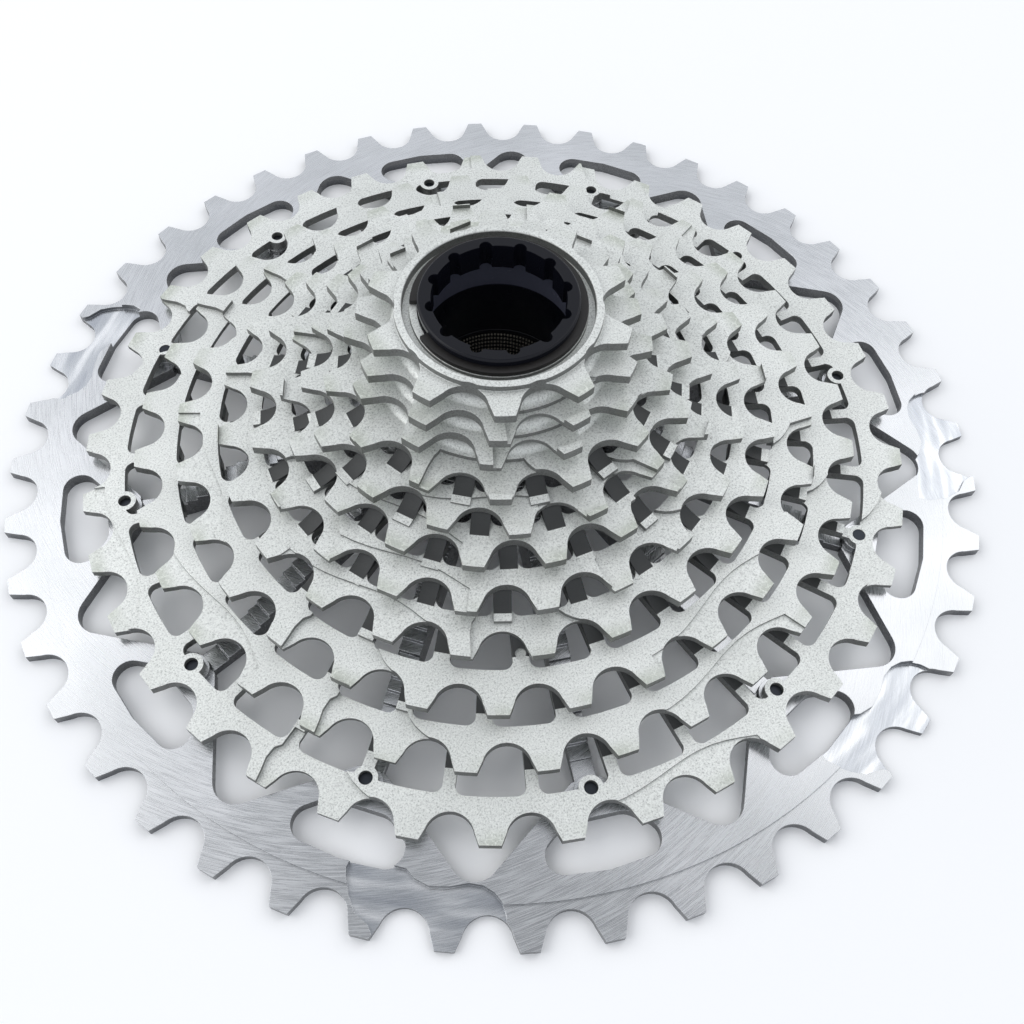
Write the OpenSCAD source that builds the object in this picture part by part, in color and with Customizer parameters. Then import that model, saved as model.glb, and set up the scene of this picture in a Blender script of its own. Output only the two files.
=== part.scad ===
// Bicycle cassette: a stack of steel sprockets machined as an open stepped cone, carried on a large
// aluminium sprocket with radial arms and a splined hub, with a lock tube that turns inside and a
// snap ring on the neck of the tube.
// Origin: centre of the back face, on the wheel axis. +Z runs outboard, towards the smallest sprocket.

/* [Teeth] */
// Number of teeth on each sprocket, from the largest to the smallest
teeth = [44, 37, 32, 28, 24, 21, 18, 16, 14, 12, 11, 10];
// Angle of one tooth tip on each sprocket, in degrees from the first arm
tip_angle = [7.1, 3.8, 5.8, 0.6, 11.0, 10.9, 11.6, 15.9, 1.1, 14.7, 28.8, 8.0];
// Chain pitch
chain_pitch = 12.7; // [12:0.1:13]
// Radius of the valley a chain roller sits in
valley_r = 3.97; // [3.8:0.01:4.1]
// Height of a steel tooth tip above the pitch circle
steel_tip = 0.9; // [0.5:0.1:2]
// Height of an aluminium tooth tip above the pitch circle
rim_tip = 1.55; // [0.5:0.05:2]

/* [Stack] */
// Axial distance from one sprocket to the next
sprocket_step = 3.6; // [3:0.1:4]
// Thickness of a steel sprocket
plate_t = 1.8; // [1.4:0.1:2.2]
// Thickness of the aluminium teeth
rim_tooth_t = 1.9; // [1.4:0.1:2.4]
// Thickness of the aluminium rim inside the teeth
rim_t = 2.5; // [2:0.1:3]

/* [Steel webs] */
// Ring of metal left between a valley and the windows inside it
ring_w = 2.6; // [2:0.1:4]
// Turn of the spokes from the valleys of the next smaller sprocket, 37 teeth to 16 teeth
spoke_turn = [3.4, 4.1, 3.5, -0.8, -1.2, 0, 0];
// Width of the spokes between the windows, 37 teeth to 16 teeth
spoke_w = [2.0, 2.6, 2.7, 2.9, 2.9, 3.1, 3.1];
// Radius of the window corners
corner_r = 1.6; // [0.5:0.1:3]
// Depth of the deep shift pockets
deep_cut = 0.9; // [0.5:0.1:1.2]
// Depth of the shallow shift pockets
shallow_cut = 0.45; // [0.2:0.05:0.8]
// Radius of the hollow foot of each post
post_round = 8; // [3:0.5:12]

/* [Aluminium rim] */
// Radius where the thicker rim steps down to the teeth
rim_edge_r = 83.8; // [82:0.1:84.5]
// Radius of the outer edge of the long slots
slot_r = 80.6; // [78:0.1:82]
// Radius of the inner edge of the long slots
slot_inner_r = 72.2; // [71.8:0.1:75]
// Radius where the slots start to narrow inwards
slot_shoulder_r = 76.5; // [74:0.1:79]
// Half width of the long slots at their widest
slot_half_w = 10.7; // [6:0.1:12]
// Half width of the long slots at their inner edge
slot_inner_half_w = 5; // [3:0.1:8]
// Radius of the sharp tip of the triangular windows before it is rounded
window_tip_r = 83; // [79:0.1:85]
// Slope of the triangular window sides
window_slope = 0.8; // [0.5:0.01:1.2]
// Radius of the rounded tips of the triangular windows
window_round = 4; // [1:0.1:5]
// Radius of the rounded corners of the long slots
slot_round = 3; // [1:0.1:4]
// Inner radius of the rim between the bosses
rim_inner_r = 66.2; // [64:0.1:68]
// Directions of the wide shift pockets
pocket_angles = [249.5, 307, 347.5, 151.5];
// Height of the shift pocket floor
pocket_floor = 1.2; // [0.8:0.1:2]

/* [Arms and hub] */
// Number of arms, bosses and joining pins
arm_count = 12; // [6:1:12]
// Width of an arm
arm_w = 3.7; // [3:0.1:6]
// Radius of the circle the joining pins stand on
pin_circle_r = 68.4; // [60:0.1:75]
// Radius of a joining pin and of the hole it is pressed into
pin_r = 1.15; // [0.8:0.05:2]
// Radius of the steel pad round each pin
pin_pad_r = 2; // [1.8:0.1:3]
// Radius of a boss under the second sprocket
boss_r = 2.6; // [2.5:0.1:4]
// Outer radius of the splined hub
hub_r = 21; // [19:0.5:24]
// Radius at the crests of the driver splines
spline_minor_r = 16.6; // [15:0.1:18]
// Radius at the roots of the driver splines
spline_major_r = 17.5; // [16:0.1:19]
// Length of the driver splines
spline_len = 9; // [6:0.5:12]

// Radius of the clear bore above the splines
hub_bore_r = 14.6; // [14.2:0.1:16]
// Number of driver splines
spline_count = 12; // [9:1:24]
// Width of one spline groove
spline_w = 2; // [1:0.1:3]
// Height of the lower end of the joining pins
pin_z0 = 0.3; // [0:0.1:1]
// Depth of the pins below the steel face
pin_recess = 1; // [0:0.1:1.5]

/* [Lock tube and snap ring] */
// Radius of the tube outside
tube_r = 13.9; // [13:0.1:14.5]
// Radius of the tube bore
tube_bore_r = 12.7; // [12:0.1:13.2]
// Radius of the tube's neck, which stands out of the smallest sprocket
neck_r = 13; // [12.8:0.05:13.5]
// Height of the tube's outer end
tube_top = 43.9; // [42:0.1:45]
// Height of the tube's inner end
tube_bottom = 12; // [8:0.5:20]
// Radius at the thread crests
thread_r = 12.5; // [12:0.1:12.7]
// Height where the thread starts
thread_top = 21; // [18:0.5:24]
// Inner radius of the toothed lip
lip_r = 10.8; // [10:0.05:12]
// Thickness of the toothed lip
lip_t = 5; // [2:0.1:6]
// Number of tool notches
notch_count = 12; // [8:1:16]
// Radius of the round tool notches
notch_round = 1.05; // [0.8:0.05:1.5]
// Turn of the notches from the arms
notch_turn = -1; // [-15:1:15]
// Radius of the bore that the neck stands in
seat_r = 15.45; // [15:0.05:16]
// Height of the raised ring on the smallest sprocket
nose_h = 1.1; // [0.5:0.1:2]
// Outer radius of the raised ring on the smallest sprocket
nose_r = 16.8; // [16.2:0.1:17.2]
// Outer radius of the snap ring
snap_r = 14.25; // [13.5:0.05:15]
// Thickness of the snap ring
snap_t = 0.9; // [0.6:0.1:1.2]
// Radius at the floor of the snap ring's groove
groove_r = 12.5; // [12:0.1:12.8]
// Direction of the middle of the snap ring's gap
snap_gap_angle = 182.5; // [0:0.5:359]
// Angle the snap ring's gap spans
snap_gap = 30; // [10:1:60]
// Gap round the turning tube
running_gap = 0.06; // [0.02:0.01:0.1]

/* [Hidden] */
$fn = 96;
steel = [0.78, 0.79, 0.77];
aluminium = [0.86, 0.87, 0.89];
tube_black = [0.08, 0.08, 0.09];
ring_brown = [0.16, 0.13, 0.11];
pin_grey = [0.25, 0.26, 0.28];
last = len(teeth) - 1;
first_solid = 8;
second_top = 5.5;
gap = sprocket_step - plate_t;
root_sink = deep_cut + 0.1;
// The flanks and window corners cut a little into the arcs they leave, so that every edge is a clean crossing
flank_r = 0.985 * valley_r;
corner_sink = 0.04;
guide_r = tube_r + running_gap;
nose_top = top_z(last) + nose_h;
seat_z = top_z(last) + 0.15;
relief_z = top_z(last) - 0.6;
snap_z0 = seat_z + running_gap;
snap_z1 = snap_z0 + snap_t;
shoulder_z = top_z(last) - plate_t - 0.1;
mouth_chamfer = 0.2;
tube_chamfer = 0.3;
stair_count = 4;
arm_clear = 0.2;
arm_tip_h = 2;
arm_foot_z = 9;
arm_flat_r = 58;
spline_runout = 0.4;
small_fn = 32;
// Round timing mark on one spoke of the 28-tooth sprocket
dimple_spoke = 16;
dimple_r = 47.4;
dimple_round = 0.9;
dimple_depth = 0.3;

function top_z(k) = k == 0 ? rim_tooth_t : second_top + (k - 1) * sprocket_step;
function pitch_r(k) = chain_pitch / (2 * sin(180 / teeth[k]));
function root_r(k) = pitch_r(k) - valley_r;
function tip_r(k) = pitch_r(k) + (k == 0 ? rim_tip : steel_tip);
function flare(k) = 21 + 153 / teeth[k];
// Outer radius of the windows in sprocket k, which is also the inner edge of its ring
function window_r(k) = k < first_solid ? root_r(k) - ring_w : guide_r;
// Inner end of the spokes of sprocket k
function spoke_end(k) = k + 1 < first_solid ? window_r(k + 1) : root_r(k + 1) - ring_w - 0.6;
function tooth_angle(k) = 360 / teeth[k];
// Angle a deep shift pocket spans, and two thirds of what a shallow one spans
function pocket_span(k) = 1.6 * tooth_angle(k);
// Direction of the first spoke of sprocket k
function spoke_angle(k) = tip_angle[k + 1] + tooth_angle(k + 1) / 2 + spoke_turn[k - 1];

// Repeats what follows at every arm
module each_arm() for (i = [0 : arm_count - 1]) rotate(i * 360 / arm_count) children();

// Space one chain roller takes between two teeth, with its mouth flared outwards
module tooth_gap(k) {
    reach = 5;
    a = flare(k);
    foot_x = -flank_r * sin(a);
    foot_y = flank_r * cos(a);
    mouth_y = foot_y + (reach - foot_x) * tan(a);
    translate([pitch_r(k), 0]) {
        circle(r = valley_r);
        polygon([[foot_x, foot_y], [reach, mouth_y], [reach, -mouth_y], [foot_x, -foot_y]]);
    }
}

// Flat outline of sprocket k with its teeth, solid to the centre
module toothed_outline(k) {
    difference() {
        circle(r = tip_r(k));
        for (i = [0 : teeth[k] - 1])
            rotate(tip_angle[k] + (i + 0.5) * tooth_angle(k)) tooth_gap(k);
    }
}

// One straight spoke of sprocket k, with rounded roots where it meets the ring
module spoke(k) {
    w = spoke_w[k - 1];
    outer = window_r(k) + 0.6;
    translate([spoke_end(k), -w / 2]) square([outer - spoke_end(k), w]);
    for (side = [-1, 1]) scale([1, side]) spoke_root(k, w);
}

// Rounded root on one side of a spoke
module spoke_root(k, w) {
    edge = sqrt(window_r(k) * window_r(k) - pow(w / 2 + corner_r, 2));
    difference() {
        translate([edge - corner_r, w / 2 - 0.4]) square([corner_r + 0.4, corner_r + 0.4]);
        translate([edge - corner_r, w / 2 + corner_r - corner_sink]) circle(r = corner_r, $fn = small_fn);
    }
}

// Flat outline of open sprocket k: toothed ring and spokes
module open_outline(k) {
    difference() {
        toothed_outline(k);
        circle(r = window_r(k));
    }
    for (i = [0 : teeth[k + 1] - 1])
        rotate(spoke_angle(k) + i * tooth_angle(k + 1)) spoke(k);
    if (k == 1) each_arm() translate([pin_circle_r, 0]) circle(r = pin_pad_r);
}

// Deep shift pocket: a short rounded end near the teeth, then an S line that falls from the teeth
// across the ring to the spokes
module deep_pocket(k, from, to) {
    inner = k < first_solid ? window_r(k) - 5 : root_r(k + 1) + 0.25;
    r = root_r(k);
    far = tip_r(k) + 1;
    line = [[from + 1, inner], [from + 0.8, r - 2], [from + 0.1, r - 1], [from, r + 1],
        [from + 0.4, r + 3], [from + 0.8, far], [to + 2, far], [to, r + 0.7], [to - 1.2, r + 0.2],
        [to - 2.6, r - 0.5], [to - 4, r - 1.4], [to - 5.2, max(r - 2.5, inner)],
        [to - 6.2, max(r - 4, inner)], [to - 7, max(r - 5.6, inner)]];
    cut_pocket(k, line, deep_cut);
}

// Shallow shift pocket: a long shallow curve that dips from the teeth almost to the windows
module shallow_pocket(k, from, to) {
    r = root_r(k);
    far = tip_r(k) + 1;
    span = to - from;
    line = [for (i = [0 : 12]) let (t = i / 12) [from + span * t, r + 0.9 - 3 * sin(180 * pow(t, 1.6))]];
    cut_pocket(k, concat(line, [[to, far], [from + span * 2 / 3, far], [from + span / 3, far], [from, far]]),
        shallow_cut);
}

// Cuts the area inside a line of [angle, radius] points out of the face of sprocket k
module cut_pocket(k, line, depth) {
    translate([0, 0, top_z(k) - depth]) linear_extrude(depth + 1)
        polygon([for (p = line) p[1] * [cos(p[0]), sin(p[0])]]);
}

// Post that joins a spoke to the sprocket above, with a long hollow-rounded foot
module post(k) {
    w = spoke_w[k - 1];
    inner = spoke_end(k);
    outer = inner + ring_w - 0.4;
    foot = sqrt(post_round * post_round - pow(post_round - gap, 2));
    rotate([90, 0, 0]) translate([0, 0, -w / 2]) linear_extrude(w) difference() {
        translate([inner, -root_sink]) square([outer - inner + foot, gap + root_sink]);
        translate([outer + foot, post_round - corner_sink]) circle(r = post_round);
    }
}

// Steel sprocket with windows, and the posts that carry the next smaller one
module open_sprocket(k, deep = [], shallow = []) {
    difference() {
        translate([0, 0, top_z(k) - plate_t]) linear_extrude(plate_t) open_outline(k);
        pockets(k, deep, shallow);
    }
    for (i = [0 : teeth[k + 1] - 1])
        rotate(spoke_angle(k) + i * tooth_angle(k + 1)) translate([0, 0, top_z(k)]) post(k);
}

module pockets(k, deep, shallow) {
    for (p = deep) deep_pocket(k, p, p + pocket_span(k));
    for (p = shallow) shallow_pocket(k, p, p + 1.5 * pocket_span(k));
}

// Steel sprocket without windows, and the wall that carries the next smaller one
module closed_sprocket(k, deep = [], shallow = []) {
    difference() {
        union() {
            difference() {
                translate([0, 0, top_z(k) - plate_t]) linear_extrude(plate_t) toothed_outline(k);
                pockets(k, deep, shallow);
            }
            translate([0, 0, top_z(k)]) wall(root_r(k + 1) - 0.3);
        }
        translate([0, 0, top_z(k) - plate_t - 1]) cylinder(r = guide_r, h = sprocket_step + 2);
    }
}

// Round wall between two sprockets, with a hollow-rounded foot
module wall(r) {
    rotate_extrude() difference() {
        translate([0, -root_sink]) square([r + gap, gap + root_sink]);
        translate([r + gap, gap - corner_sink]) circle(r = gap, $fn = small_fn);
    }
}

module sprocket_37t() color(steel) difference() {
    open_sprocket(1, [46, 141, 227, 322], [82, 177, 270]);
    pin_holes();
}
module sprocket_32t() color(steel)
    open_sprocket(2, [for (i = [0 : 3]) 51 + 90 * i], [for (i = [0 : 3]) 12 + 90 * i]);
module sprocket_28t() color(steel) difference() {
    open_sprocket(3, [40, 130, 220, 325], [90, 168, 285]);
    rotate(spoke_angle(3) + dimple_spoke * tooth_angle(4)) translate([dimple_r, 0, top_z(3) - dimple_depth])
        cylinder(r = dimple_round, h = 1, $fn = small_fn);
}
module sprocket_24t() color(steel)
    open_sprocket(4, [70, 160, 252, 340], [30, 120, 209]);
module sprocket_21t() color(steel)
    open_sprocket(5, [10, 100, 190, 282], [55, 210, 325]);
module sprocket_18t() color(steel)
    open_sprocket(6, [32, 152, 310], [200, 80]);
module sprocket_16t() color(steel)
    open_sprocket(7, [45, 270], [140, 225]);
module sprocket_14t() color(steel)
    closed_sprocket(8, [232, 52], [145, 320]);
module sprocket_12t() color(steel)
    closed_sprocket(9, [75, 255], [345]);
module sprocket_11t() color(steel)
    closed_sprocket(10, [260, 80]);

// Smallest sprocket: a ledge that the snap ring rests on, with a relief groove round it inside a
// raised nose
module sprocket_10t() color(steel) difference() {
    union() {
        translate([0, 0, top_z(last) - plate_t]) linear_extrude(plate_t) toothed_outline(last);
        nose();
    }
    translate([0, 0, top_z(last) - plate_t - 1]) cylinder(r = neck_r + running_gap, h = plate_t + nose_h + 2);
    translate([0, 0, seat_z]) cylinder(r = seat_r, h = nose_h + 1);
    translate([0, 0, relief_z]) rotate_extrude() translate([snap_r + running_gap, 0])
        square([seat_r - snap_r - running_gap, seat_z - relief_z + 1]);
    translate([0, 0, nose_top - mouth_chamfer])
        cylinder(r1 = seat_r, r2 = seat_r + 2 * mouth_chamfer, h = 2 * mouth_chamfer);
}

// Raised ring round the mouth of the smallest sprocket, cleared by the tooth valleys
module nose() {
    translate([0, 0, top_z(last)]) linear_extrude(nose_h) difference() {
        circle(r = nose_r);
        for (i = [0 : teeth[last] - 1])
            rotate(tip_angle[last] + (i + 0.5) * tooth_angle(last)) tooth_gap(last);
    }
}

// Flat outline of the aluminium rim: toothed ring, V-shaped struts and bosses
module rim_outline() {
    difference() {
        toothed_outline(0);
        circle(r = rim_inner_r);
        each_arm() {
            offset(r = slot_round, $fn = small_fn) offset(delta = -slot_round) intersection() {
                circle(r = slot_r);
                polygon([[slot_r + 1, slot_half_w], [slot_shoulder_r, slot_half_w],
                    [slot_inner_r, slot_inner_half_w], [slot_inner_r, -slot_inner_half_w],
                    [slot_shoulder_r, -slot_half_w], [slot_r + 1, -slot_half_w]]);
            }
            rotate(180 / arm_count) offset(r = window_round, $fn = small_fn) offset(delta = -window_round) {
                foot_r = rim_inner_r - 2 * window_round;
                foot = window_slope * (window_tip_r - foot_r);
                polygon([[window_tip_r, 0], [foot_r, foot], [foot_r, -foot]]);
            }
        }
    }
    each_arm() translate([pin_circle_r, 0]) circle(r = boss_r);
}

// Wide shallow pocket milled across rim and teeth, open to the slot beside it
module shift_pocket() {
    far = tip_r(0) + 1;
    line = [[-3.2, far], [-4.6, 88.6], [-6.2, 87.4], [-7.2, 85.4], [-8, 83.2], [-8.4, 81.5], [-8.2, 79.6],
        [-2, 79.6], [-1, 80.8], [0.8, 81.7], [3, 81.4], [5, 80.7], [6.6, 81], [7.8, 82], [8.6, 83.4],
        [9, 85.2], [9.1, far], [3, far]];
    translate([0, 0, pocket_floor]) linear_extrude(rim_t)
        polygon([for (p = line) p[1] * [cos(p[0]), sin(p[0])]]);
}

module sprocket_44t() color(aluminium) difference() {
    union() {
        linear_extrude(rim_tooth_t) rim_outline();
        linear_extrude(rim_t) intersection() {
            rim_outline();
            circle(r = rim_edge_r);
        }
        each_arm() translate([pin_circle_r, 0, 0]) cylinder(r = boss_r, h = top_z(1) - plate_t);
    }
    for (a = pocket_angles) rotate(a) shift_pocket();
    pin_holes();
}

module pin_holes() each_arm()
    translate([pin_circle_r, 0, -1]) cylinder(r = pin_r, h = top_z(1) + 2, $fn = small_fn);

// Side view of one arm: stairs on top that keep under the steel sprockets, sloping underside
module arm_profile() {
    rise = sprocket_step / stair_count;
    stairs = [for (k = [1 : first_solid - 1], j = [0 : stair_count - 1])
        let (outer = stair_r(k, j), inner = stair_r(k, j + 1),
            z = max(under_z(k) - (stair_count - 1 - j) * rise, arm_tip_h))
        if (outer > hub_r) each [[outer, z], [max(inner, hub_r - 1), z]]];
    polygon(concat([[pin_circle_r, 0], [pin_circle_r, arm_tip_h]], stairs,
        [[hub_r - 1, arm_foot_z], [hub_r + 1, arm_foot_z], [arm_flat_r, 0]]));
}

function under_z(k) = top_z(k) - plate_t - arm_clear;
// Outer radius of stair j below sprocket k
function stair_r(k, j) = window_r(k) - 0.4 + (spoke_end(k) - window_r(k)) * j / stair_count;

module carrier_arms() color(aluminium) difference() {
    intersection() {
        each_arm() rotate([90, 0, 0]) translate([0, 0, -arm_w / 2]) linear_extrude(arm_w) arm_profile();
        cylinder(r = rim_inner_r, h = top_z(last));
    }
    translate([0, 0, -1]) cylinder(r = hub_r, h = top_z(last));
    each_arm() translate([pin_circle_r, 0, -1]) cylinder(r = boss_r, h = top_z(1));
}

// Hub that slides onto the driver, splined at its lower end
module splined_hub() color(aluminium) difference() {
    cylinder(r = hub_r, h = under_z(first_solid - 1));
    translate([0, 0, -1]) cylinder(r = spline_minor_r, h = spline_len + 1);
    translate([0, 0, -1]) cylinder(r = hub_bore_r, h = top_z(last));
    for (i = [0 : spline_count - 1]) rotate((i + 0.5) * 360 / spline_count)
        translate([spline_minor_r - 1, -spline_w / 2, -1])
            cube([spline_major_r - spline_minor_r + 1, spline_w, spline_len + 1 + spline_runout]);
}

module joining_pins() color(pin_grey) each_arm() translate([pin_circle_r, 0, pin_z0])
    cylinder(r = pin_r, h = top_z(1) - pin_recess - pin_z0, $fn = small_fn);

// Tube with a shoulder under the smallest sprocket, a grooved neck and a toothed lip for the tool
module lock_tube() color(tube_black) difference() {
    rotate_extrude() polygon([[thread_r, tube_bottom], [tube_r, tube_bottom], [tube_r, shoulder_z],
        [neck_r, shoulder_z], [neck_r, snap_z0], [groove_r, snap_z0], [groove_r, snap_z1], [neck_r, snap_z1],
        [neck_r, tube_top - tube_chamfer], [neck_r - tube_chamfer, tube_top], [lip_r, tube_top],
        [lip_r, tube_top - lip_t], [tube_bore_r, tube_top - lip_t], [tube_bore_r, thread_top],
        [thread_r, thread_top]]);
    for (i = [0 : notch_count - 1]) rotate(i * 360 / notch_count + notch_turn)
        translate([lip_r, 0, tube_top - lip_t - 1]) cylinder(r = notch_round, h = lip_t + 2, $fn = small_fn);
}

// Open ring sprung into the groove of the neck, which keeps the tube from sliding in
module snap_ring() color(ring_brown) difference() {
    translate([0, 0, snap_z0]) linear_extrude(snap_t) difference() {
        circle(r = snap_r);
        circle(r = groove_r);
    }
    rotate(snap_gap_angle - snap_gap / 2) translate([0, 0, snap_z0 - 1])
        linear_extrude(snap_t + 2)
            polygon([[0, 0], [2 * snap_r, 0], 2 * snap_r * [cos(snap_gap), sin(snap_gap)]]);
}

sprocket_44t();
sprocket_37t();
sprocket_32t();
sprocket_28t();
sprocket_24t();
sprocket_21t();
sprocket_18t();
sprocket_16t();
sprocket_14t();
sprocket_12t();
sprocket_11t();
sprocket_10t();
carrier_arms();
splined_hub();
joining_pins();
lock_tube();
snap_ring();
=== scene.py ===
"""Looks of the bicycle cassette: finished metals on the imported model, floor, soft studio light and camera."""
import math

import bpy
from mathutils import Matrix, Vector


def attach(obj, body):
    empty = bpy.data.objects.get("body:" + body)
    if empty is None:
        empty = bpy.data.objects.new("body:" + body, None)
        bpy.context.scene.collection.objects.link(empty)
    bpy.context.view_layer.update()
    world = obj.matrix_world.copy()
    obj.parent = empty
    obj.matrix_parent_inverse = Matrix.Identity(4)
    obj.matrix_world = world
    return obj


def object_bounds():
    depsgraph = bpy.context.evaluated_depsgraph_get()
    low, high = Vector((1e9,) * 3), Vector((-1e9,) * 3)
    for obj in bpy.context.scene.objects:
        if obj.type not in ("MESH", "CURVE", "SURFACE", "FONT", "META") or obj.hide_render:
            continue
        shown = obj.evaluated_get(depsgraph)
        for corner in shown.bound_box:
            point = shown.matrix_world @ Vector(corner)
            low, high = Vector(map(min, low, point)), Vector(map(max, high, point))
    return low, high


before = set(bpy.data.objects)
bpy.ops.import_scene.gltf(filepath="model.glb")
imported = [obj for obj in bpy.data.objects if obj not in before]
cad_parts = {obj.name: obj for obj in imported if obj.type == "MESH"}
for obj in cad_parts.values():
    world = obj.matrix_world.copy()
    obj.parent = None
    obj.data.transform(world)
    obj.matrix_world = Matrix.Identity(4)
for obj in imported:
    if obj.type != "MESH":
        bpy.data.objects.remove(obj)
cad_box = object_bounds()
MM = 0.001

# Steel sprockets: tooth tips, blasted grain (noise cells per metre, as all grains here), and the painted shade
# on the posts that stand on their faces under the next sprocket
CHAIN_PITCH = 12.7 * MM
STEEL_TIP = 0.9 * MM
TIP_BAND = 4 * MM
FINE_GRAIN = 5200
COARSE_GRAIN = 3300
STEEL_CLOUDS = 35
SCRATCH_GRAIN = 900
WORN_PATCHES = 70
TIP_WEAR = 0.75
POST_HEIGHT = 1.8 * MM
POST_START = 0.08 * MM
POST_SHADE_COLOUR = (0.05, 0.052, 0.052)
FEWEST_TEETH_WITH_POSTS = 16
STEEL_METALLIC = 0.5
STEEL_CHAMFER = 0.16 * MM

# Aluminium: slant of the milling marks, their grain across, around (per radian) and down the walls, the same
# for the turned rings, and the milled pockets in the rim
MARK_TURN = 0.024
MARK_RADIAL = 0.93
MARK_GRAIN = 6000
MARK_AROUND = 16
MARK_DOWN = 2500
TURNED_GRAIN = 5000
TURNED_AROUND = 5
TURNED_SHARE = 0.12
ALUMINIUM_CLOUDS = 45
POCKET_GRAIN = 420
POCKET_AROUND = 6
POCKET_TOP = 1.35 * MM
POCKET_INNER = 79 * MM
ALUMINIUM_CHAMFER = 0.11 * MM

# Lock tube: its colours, the painted reflection on the smooth part of its bore, and its thread
TUBE_BLACK = (0.005, 0.0055, 0.009)
TUBE_REFLECTION_BAND = (0.085, 0.09, 0.125)
THREAD_DARK = (0.03, 0.028, 0.024)
THREAD_BRIGHT = (0.46, 0.43, 0.36)
REFLECTION_LOW = 32.7 * MM
REFLECTION_HIGH = 38.7 * MM
TUBE_BORE = 12.9 * MM
THREAD_LINES = 132
THREAD_PITCH = 1 * MM
THREAD_LOW = 12.6 * MM
THREAD_HIGH = 20.6 * MM
THREAD_WALL = 12.55 * MM
THREAD_CREST = 12.2 * MM
THREAD_FOOT_SHARE = 0.5
THREAD_CREST_SHARE = 0.1
STEPS_PER_TURN = 96

# Small parts: grain and chamfers
TUBE_GRAIN = 900
SMALL_PART_GRAIN = 1500
TUBE_CHAMFER = 0.15 * MM
RING_CHAMFER = 0.12 * MM
PIN_CHAMFER = 0.1 * MM

# Clean-up of the CAD meshes before their edges are broken
WELD_REACH = 0.002 * MM
FLAT_ANGLE = math.radians(1.5)
EDGE_ANGLE = math.radians(40)

# Studio
FLOOR_HALF = 2.0
FLOOR_DROP = 0.02 * MM
FLOOR_COLOUR = (0.955, 0.96, 0.97, 1)
WARM_WHITE = (1.0, 0.99, 0.97)
SKY_TINT = (0.92, 0.95, 1.0)
SKY_STRENGTH = 1.05

# Camera: 59 degrees above the floor, 202 mm from where its view meets it, and a little turned about its view
LENS = 38.27
SENSOR = 36
CLIP_START = 0.01
CAMERA_PLACE = (-26.8, -113.4, 173.95)
CAMERA_VIEW = (0.132, 0.4927, -0.8602)
CAMERA_RIGHT = (0.9746, -0.2231, 0.0219)


def pitch_radius(teeth):
    """Radius of the chain's pitch circle on a sprocket."""
    return CHAIN_PITCH / (2 * math.sin(math.pi / teeth))


def new_material(name):
    """A node material, with its nodes, links and main shader."""
    mat = bpy.data.materials.new(name)
    mat.use_nodes = True
    tree = mat.node_tree
    return mat, tree, tree.nodes["Principled BSDF"]


def node(tree, kind, **inputs):
    """A new shader node, with its input values set by name."""
    made = tree.nodes.new(kind)
    for key, value in inputs.items():
        made.inputs[key.replace("_", " ")].default_value = value
    return made


def noise(tree, coords, scale, detail=4, roughness=0.6):
    """Noise value over coords."""
    made = node(tree, "ShaderNodeTexNoise", Scale=scale, Detail=detail, Roughness=roughness)
    tree.links.new(coords, made.inputs["Vector"])
    return made.outputs["Fac"]


def ramp(tree, value, *stops):
    """A colour ramp over value; each stop is (position, grey or colour)."""
    made = tree.nodes.new("ShaderNodeValToRGB")
    tree.links.new(value, made.inputs[0])
    elements = made.color_ramp.elements
    while len(elements) < len(stops):
        elements.new(0.5)
    for element, (place, colour) in zip(elements, stops):
        element.position = place
        element.color = (colour,) * 3 + (1,) if isinstance(colour, (int, float)) else (*colour, 1)
    return made.outputs["Color"]


def math_node(tree, operation, a, b=None):
    """Result of an operation on one or two values; each may be a number or a socket."""
    made = tree.nodes.new("ShaderNodeMath")
    made.operation = operation
    for place, value in enumerate((a, b)):
        if value is None:
            continue
        if isinstance(value, (int, float)):
            made.inputs[place].default_value = value
        else:
            tree.links.new(value, made.inputs[place])
    return made.outputs[0]


def mix(tree, factor, a, b, blend="MIX"):
    """Colour mix of a and b; each may be a colour or a socket."""
    made = tree.nodes.new("ShaderNodeMix")
    made.data_type = "RGBA"
    made.blend_type = blend
    for place, value in ((0, factor), (6, a), (7, b)):
        if isinstance(value, (int, float)):
            made.inputs[place].default_value = value
        elif isinstance(value, tuple):
            made.inputs[place].default_value = (*value, 1)
        else:
            tree.links.new(value, made.inputs[place])
    return made.outputs[2]


def bump(tree, shader, height, strength, distance):
    """Surface relief from a height value."""
    made = node(tree, "ShaderNodeBump", Strength=strength, Distance=distance)
    tree.links.new(height, made.inputs["Height"])
    tree.links.new(made.outputs["Normal"], shader.inputs["Normal"])


def scaled(tree, *pairs):
    """A position made of up to three (socket, scale) pairs, to stretch noise along chosen directions."""
    made = tree.nodes.new("ShaderNodeCombineXYZ")
    for place, (value, scale) in enumerate(pairs):
        tree.links.new(math_node(tree, "MULTIPLY", value, scale), made.inputs[place])
    return made.outputs[0]


def place_on_part(tree):
    """Position in the part's own frame."""
    return tree.nodes.new("ShaderNodeTexCoord").outputs["Object"]


def polar(tree):
    """Position in the part's own frame, then its radius and angle about the wheel axis and its height."""
    coords = place_on_part(tree)
    split = tree.nodes.new("ShaderNodeSeparateXYZ")
    tree.links.new(coords, split.inputs[0])
    x, y, z = split.outputs
    radius = math_node(tree, "SQRT", math_node(
        tree, "ADD", math_node(tree, "MULTIPLY", x, x), math_node(tree, "MULTIPLY", y, y)))
    angle = math_node(tree, "ARCTAN2", y, x)
    return coords, radius, angle, z


def facing_up(tree):
    """1 on level faces, 0 on upright walls, whichever way the object has turned about its axis."""
    normal = tree.nodes.new("ShaderNodeNewGeometry").outputs["Normal"]
    split = tree.nodes.new("ShaderNodeSeparateXYZ")
    tree.links.new(normal, split.inputs[0])
    return math_node(tree, "ABSOLUTE", split.outputs[2])


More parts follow.
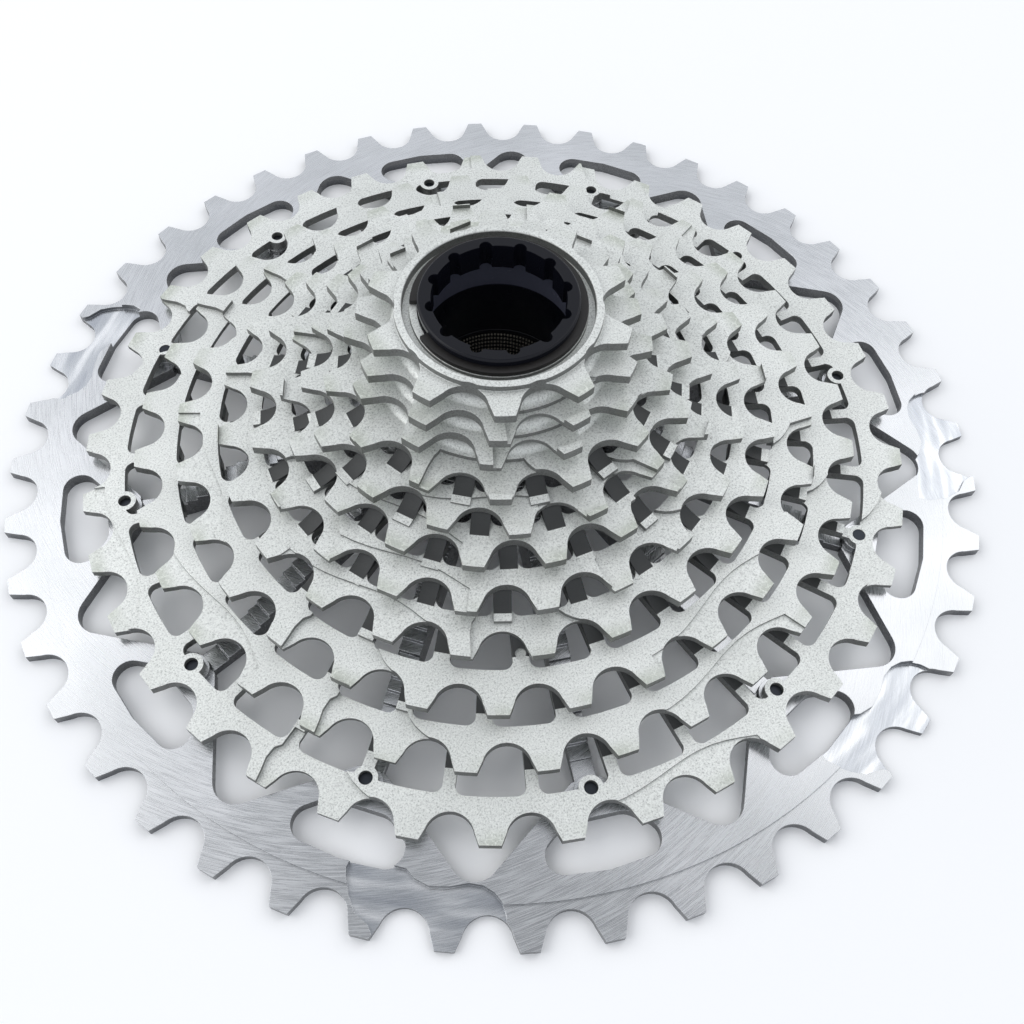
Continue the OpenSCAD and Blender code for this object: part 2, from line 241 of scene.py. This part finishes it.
def blasted_steel(teeth, face):
    """Bead-blasted, plated steel: pale and finely speckled, with painted shade on its walls and on what stands
    above its face, scratched and a little green on the tips of the teeth."""
    mat, tree, shader = new_material(f"blasted_steel_{teeth}")
    coords, radius, _, z = polar(tree)
    fine = noise(tree, coords, FINE_GRAIN, 3, 0.75)
    grain = noise(tree, coords, COARSE_GRAIN, 4, 0.8)
    cloud = noise(tree, coords, STEEL_CLOUDS, 3, 0.5)
    base = ramp(tree, cloud, (0.3, (0.79, 0.81, 0.78)), (0.7, (0.92, 0.94, 0.91)))
    speck = ramp(tree, grain, (0.34, 0.42), (0.46, 0.82), (0.62, 1.0))
    colour = mix(tree, 1.0, base, speck, "MULTIPLY")
    band_start = pitch_radius(teeth) + STEEL_TIP - TIP_BAND
    into_band = math_node(tree, "MULTIPLY", math_node(tree, "SUBTRACT", radius, band_start), 1 / TIP_BAND)
    near_tip = ramp(tree, into_band, (0.25, 0.0), (0.8, 1.0))
    swirl = noise(tree, coords, SCRATCH_GRAIN, 2, 0.4)
    scratch = ramp(tree, swirl, (0.46, 0.0), (0.5, 1.0), (0.54, 0.0))
    patch = ramp(tree, noise(tree, coords, WORN_PATCHES, 2, 0.5), (0.45, 0.0), (0.6, 1.0))
    worn = mix(tree, scratch, (0.48, 0.51, 0.445), (0.76, 0.79, 0.72))
    wear = math_node(tree, "MULTIPLY", math_node(tree, "MULTIPLY", near_tip, patch), TIP_WEAR)
    colour = mix(tree, wear, colour, worn)
    # Painted shade: upright walls are made darker than level faces
    wall_shade = ramp(tree, facing_up(tree), (0.1, 0.25), (0.8, 1.0))
    colour = mix(tree, 1.0, colour, wall_shade, "MULTIPLY")
    # Painted shade: what stands more than POST_START above the face, the posts under the next sprocket, is made
    # near-black
    post_shade_mask = math_node(tree, "GREATER_THAN", z, face + POST_START)
    tree.links.new(mix(tree, post_shade_mask, colour, POST_SHADE_COLOUR), shader.inputs["Base Color"])
    shader.inputs["Metallic"].default_value = STEEL_METALLIC
    tree.links.new(ramp(tree, fine, (0.3, 0.36), (0.7, 0.58)), shader.inputs["Roughness"])
    bump(tree, shader, mix(tree, 0.5, grain, fine), 0.35, 0.12 * MM)
    return mat


def turned_aluminium():
    """Bare aluminium with the fine slanting marks of a face mill, faint turned rings, and smoother swirled
    floors in the pockets of the rim."""
    mat, tree, shader = new_material("turned_aluminium")
    coords, radius, angle, z = polar(tree)
    arc = math_node(tree, "ADD", math_node(tree, "MULTIPLY", angle, MARK_TURN),
                    math_node(tree, "MULTIPLY", radius, MARK_RADIAL))
    across = scaled(tree, (arc, MARK_GRAIN), (angle, MARK_AROUND), (z, MARK_DOWN))
    milled = noise(tree, across, 1.0, 3, 0.6)
    turned = noise(tree, scaled(tree, (radius, TURNED_GRAIN), (angle, TURNED_AROUND)), 1.0, 3, 0.6)
    marks = mix(tree, TURNED_SHARE, milled, turned)
    cloud = noise(tree, coords, ALUMINIUM_CLOUDS, 3, 0.5)
    base = ramp(tree, cloud, (0.3, (0.60, 0.615, 0.63)), (0.7, (0.72, 0.73, 0.75)))
    streak = ramp(tree, marks, (0.35, 0.83), (0.6, 1.0))
    colour = mix(tree, 1.0, base, streak, "MULTIPLY")
    curl = noise(tree, scaled(tree, (radius, POCKET_GRAIN), (angle, POCKET_AROUND)), 1.0, 2, 0.4)
    swirl = ramp(tree, curl, (0.3, (0.44, 0.46, 0.50)), (0.5, (0.55, 0.57, 0.60)), (0.7, (0.84, 0.85, 0.87)))
    pocket = math_node(tree, "MULTIPLY", math_node(tree, "LESS_THAN", z, POCKET_TOP),
                       math_node(tree, "GREATER_THAN", radius, POCKET_INNER))
    colour = mix(tree, pocket, colour, swirl)
    # Painted shade: upright walls are made darker than level faces
    wall_shade = ramp(tree, facing_up(tree), (0.1, 0.26), (0.7, 1.0))
    tree.links.new(mix(tree, 1.0, colour, wall_shade, "MULTIPLY"), shader.inputs["Base Color"])
    shader.inputs["Metallic"].default_value = 1.0
    tree.links.new(ramp(tree, milled, (0.3, 0.20), (0.7, 0.36)), shader.inputs["Roughness"])
    bump(tree, shader, marks, 0.2, 0.08 * MM)
    return mat


def plain_metal(name, colour, metallic, rough_low, rough_high):
    """Small metal part with a slightly uneven finish."""
    mat, tree, shader = new_material(name)
    fine = noise(tree, place_on_part(tree), SMALL_PART_GRAIN, 4, 0.6)
    tint = ramp(tree, fine, (0.3, tuple(c * 0.8 for c in colour)), (0.7, colour))
    tree.links.new(tint, shader.inputs["Base Color"])
    shader.inputs["Metallic"].default_value = metallic
    tree.links.new(ramp(tree, fine, (0.3, rough_low), (0.7, rough_high)), shader.inputs["Roughness"])
    bump(tree, shader, fine, 0.2, 0.05 * MM)
    return mat


def black_anodised():
    """Glossy blue-black tube, with a paler band of painted reflection on the smooth part of its bore under the
    lip.
    """
    mat, tree, shader = new_material("black_anodised")
    coords, radius, _, z = polar(tree)
    fine = noise(tree, coords, TUBE_GRAIN, 4, 0.6)
    # Painted reflection: a paler band on the bore wall between these heights
    above = math_node(tree, "SUBTRACT", z, REFLECTION_LOW)
    level = math_node(tree, "DIVIDE", above, REFLECTION_HIGH - REFLECTION_LOW)
    band = ramp(tree, level, (0.0, 0.0), (0.04, 1.0), (0.96, 1.0), (1.0, 0.0))
    inside = math_node(tree, "LESS_THAN", radius, TUBE_BORE)
    base = mix(tree, math_node(tree, "MULTIPLY", band, inside), TUBE_BLACK, TUBE_REFLECTION_BAND)
    tree.links.new(base, shader.inputs["Base Color"])
    shader.inputs["Specular IOR Level"].default_value = 0.22
    tree.links.new(ramp(tree, fine, (0.3, 0.16), (0.7, 0.28)), shader.inputs["Roughness"])
    bump(tree, shader, fine, 0.2, 0.05 * MM)
    return mat


def cut_thread():
    """Bare metal of the thread turns, with fine dark lines across them and painted shade towards their roots.
    """
    mat, tree, shader = new_material("cut_thread")
    _, radius, angle, _ = polar(tree)
    wave = math_node(tree, "SINE", math_node(tree, "MULTIPLY", angle, THREAD_LINES))
    lines = ramp(tree, math_node(tree, "ADD", math_node(tree, "MULTIPLY", wave, 0.5), 0.5),
                 (0.3, THREAD_DARK), (0.8, THREAD_BRIGHT))
    # Painted shade: near-black towards the roots of the thread at the wall, bright at the crests
    depth = math_node(tree, "SUBTRACT", THREAD_WALL, radius)
    height = math_node(tree, "DIVIDE", depth, THREAD_WALL - THREAD_CREST)
    root_shade = ramp(tree, height, (0.35, 0.04), (0.8, 1.0))
    tree.links.new(mix(tree, 1.0, lines, root_shade, "MULTIPLY"), shader.inputs["Base Color"])
    shader.inputs["Metallic"].default_value = 0.9
    shader.inputs["Roughness"].default_value = 0.35
    return mat


def finish_node(name, mat, chamfer):
    """Gives a CAD node its material and small broken edges."""
    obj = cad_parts[name]
    obj.data.materials.clear()
    obj.data.materials.append(mat)
    weld = obj.modifiers.new("weld", "WELD")
    weld.merge_threshold = WELD_REACH
    flat = obj.modifiers.new("flat", "DECIMATE")
    flat.decimate_type = "DISSOLVE"
    flat.angle_limit = FLAT_ANGLE
    edge = obj.modifiers.new("edge", "BEVEL")
    edge.width = chamfer
    edge.segments = 2
    edge.limit_method = "ANGLE"
    edge.angle_limit = EDGE_ANGLE
    obj.modifiers.new("smooth", "WEIGHTED_NORMAL")


def thread_turns():
    """Helical ridge inside the lock tube, fading out over a quarter turn at each end. Its section lists
    radii, each with its height as a share of the pitch."""
    turns = (THREAD_HIGH - THREAD_LOW) / THREAD_PITCH
    count = round(turns * STEPS_PER_TURN)
    fade = STEPS_PER_TURN / 4
    section = ((THREAD_WALL, -THREAD_FOOT_SHARE), (THREAD_CREST, -THREAD_CREST_SHARE),
               (THREAD_CREST, THREAD_CREST_SHARE), (THREAD_WALL, THREAD_FOOT_SHARE))
    verts = []
    for step in range(count + 1):
        angle = 2 * math.pi * step / STEPS_PER_TURN
        middle = THREAD_LOW + THREAD_PITCH * step / STEPS_PER_TURN
        taper = min(1, step / fade, (count - step) / fade)
        for radius, offset in section:
            reach = THREAD_WALL + (radius - THREAD_WALL) * taper
            verts.append((reach * math.cos(angle), reach * math.sin(angle), middle + offset * THREAD_PITCH))
    size = len(section)
    faces = [(base + i, base + (i + 1) % size, base + size + (i + 1) % size, base + size + i)
             for base in range(0, count * size, size) for i in range(size)]
    faces += [tuple(range(size)), tuple(reversed(range(count * size, count * size + size)))]
    mesh = bpy.data.meshes.new("tube_thread")
    mesh.from_pydata(verts, [], faces)
    mesh.update()
    made = bpy.data.objects.new("tube_thread", mesh)
    bpy.context.scene.collection.objects.link(made)
    mesh.materials.append(cut_thread())
    return made


aluminium = turned_aluminium()
spring = plain_metal("oiled_spring", (0.015, 0.0135, 0.013), metallic=0.3, rough_low=0.35, rough_high=0.5)
pin = plain_metal("pin_ends", (0.04, 0.045, 0.055), metallic=0.8, rough_low=0.3, rough_high=0.45)
# Posts begin at a sprocket's face; one without posts has its face put at the top of the whole part
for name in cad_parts:
    if name.startswith("sprocket") and name != "sprocket_44t":
        teeth = int(name[len("sprocket_"):-1])
        top = max(corner[2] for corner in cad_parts[name].bound_box)
        face = top - POST_HEIGHT if teeth >= FEWEST_TEETH_WITH_POSTS else cad_box[1][2]
        finish_node(name, blasted_steel(teeth, face), STEEL_CHAMFER)
for name in ("sprocket_44t", "carrier_arms", "splined_hub"):
    finish_node(name, aluminium, ALUMINIUM_CHAMFER)
finish_node("lock_tube", black_anodised(), TUBE_CHAMFER)
finish_node("snap_ring", spring, RING_CHAMFER)
finish_node("joining_pins", pin, PIN_CHAMFER)
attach(thread_turns(), "lock_tube")

floor_mesh = bpy.data.meshes.new("floor")
corners = [(x * FLOOR_HALF, y * FLOOR_HALF, 0) for x, y in ((-1, -1), (1, -1), (1, 1), (-1, 1))]
floor_mesh.from_pydata(corners, [], [(0, 1, 2, 3)])
floor = bpy.data.objects.new("floor", floor_mesh)
floor.location.z = cad_box[0][2] - FLOOR_DROP
bpy.context.scene.collection.objects.link(floor)
floor_mat, _, floor_shader = new_material("pale_floor")
floor_shader.inputs["Base Color"].default_value = FLOOR_COLOUR
floor_shader.inputs["Roughness"].default_value = 0.9
floor_mesh.materials.append(floor_mat)


def softbox(name, place, target, size, power):
    """Rectangular area light at place, aimed at target."""
    lamp = bpy.data.lights.new(name, "AREA")
    lamp.shape = "RECTANGLE"
    lamp.size, lamp.size_y = size
    lamp.energy = power
    lamp.color = WARM_WHITE
    made = bpy.data.objects.new(name, lamp)
    made.location = place
    made.rotation_euler = (Vector(target) - Vector(place)).to_track_quat("-Z", "Y").to_euler()
    bpy.context.scene.collection.objects.link(made)


softbox("key", place=(-0.8, 0.3, 0.75), target=(0, 0, 0), size=(1.1, 1.1), power=4.6)
softbox("right_window", place=(0.68, 0.3, 0.85), target=(0.04, -0.03, 0), size=(0.5, 0.9), power=1.4)

# Sky: brightest about half way up, darker straight above, as in a room with side windows
world = bpy.data.worlds.new("studio")
world.use_nodes = True
sky = world.node_tree
direction = sky.nodes.new("ShaderNodeTexCoord")
parts = sky.nodes.new("ShaderNodeSeparateXYZ")
sky.links.new(direction.outputs["Generated"], parts.inputs[0])
brightness = ((0.0, 0.62), (0.4, 0.84), (0.75, 0.93), (0.88, 0.75), (1.0, 0.36))
stops = [(height, tuple(tint * level for tint in SKY_TINT)) for height, level in brightness]
glow = ramp(sky, parts.outputs[2], *stops)
sky.links.new(glow, sky.nodes["Background"].inputs[0])
sky.nodes["Background"].inputs[1].default_value = SKY_STRENGTH
bpy.context.scene.world = world
bpy.context.scene.view_settings.view_transform = "Standard"

lens = bpy.data.cameras.new("camera")
lens.lens = LENS
lens.sensor_width = SENSOR
lens.clip_start = CLIP_START
camera = bpy.data.objects.new("camera", lens)
right = Vector(CAMERA_RIGHT).normalized()
back = -Vector(CAMERA_VIEW).normalized()
up = back.cross(right).normalized()
right = up.cross(back).normalized()
turn = Matrix((right, up, back)).transposed().to_4x4()
camera.matrix_world = Matrix.Translation(Vector(CAMERA_PLACE) * MM) @ turn
bpy.context.scene.collection.objects.link(camera)
bpy.context.scene.camera = camera
